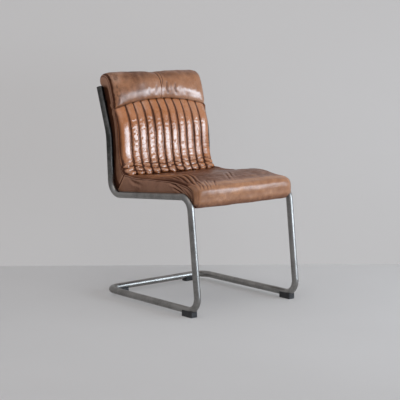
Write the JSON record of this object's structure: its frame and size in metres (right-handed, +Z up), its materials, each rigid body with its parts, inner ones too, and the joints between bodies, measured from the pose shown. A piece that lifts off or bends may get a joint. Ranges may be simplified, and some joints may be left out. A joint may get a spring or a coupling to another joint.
{
  "type": "leather cantilever dining chair",
  "caption": "Armless dining chair: padded brown leather seat and channelled back between the sides of a bent steel tube cantilever frame with black floor glides",
  "frame": {"origin": "on the floor, under the middle of the chair's bounding box", "axes": "X is the width with the sitter's left at +X, -Y is the front, +Z is up"},
  "size_m": [0.501, 0.6104, 0.8472],
  "materials": {
    "bare_steel": "bare, lightly brushed and clear coated",
    "fastener_steel": "zinc plated",
    "black_plastic": "moulded satin",
    "moulded_plywood": "raw beech veneer",
    "black_lining": "non-woven dust cloth",
    "padding": "upholstery foam and wadding",
    "brown_leather": "waxed, slightly glossy and creased"
  },
  "bodies": {
    "root": {"frame_tube_left": "bare_steel", "frame_tube_right": "bare_steel", "tube_joint_spigot": "bare_steel", "seat_crossbar_front": "bare_steel", "seat_crossbar_rear": "bare_steel", "back_crossbar_low": "bare_steel", "back_crossbar_high": "bare_steel", "shell_bolts": "fastener_steel", "shell_washers": "fastener_steel", "tee_nuts": "fastener_steel", "glide_rivets": "fastener_steel", "post_cap_left": "black_plastic", "post_cap_right": "black_plastic", "front_glide_left": "black_plastic", "front_glide_right": "black_plastic", "rear_glide_left": "black_plastic", "rear_glide_right": "black_plastic", "plywood_shell": "moulded_plywood", "seat_lining": "black_lining", "seat_foam": "padding", "back_foam": "padding", "yoke_foam": "padding", "rear_padding": "padding", "seat_cover": "brown_leather", "back_channel_panel": "brown_leather", "back_yoke_left": "brown_leather", "back_yoke_right": "brown_leather", "seat_side_cover_left": "brown_leather", "seat_side_cover_right": "brown_leather", "back_side_cover_left": "brown_leather", "back_side_cover_right": "brown_leather", "rear_cover": "brown_leather"}
  },
  "joints": []
}
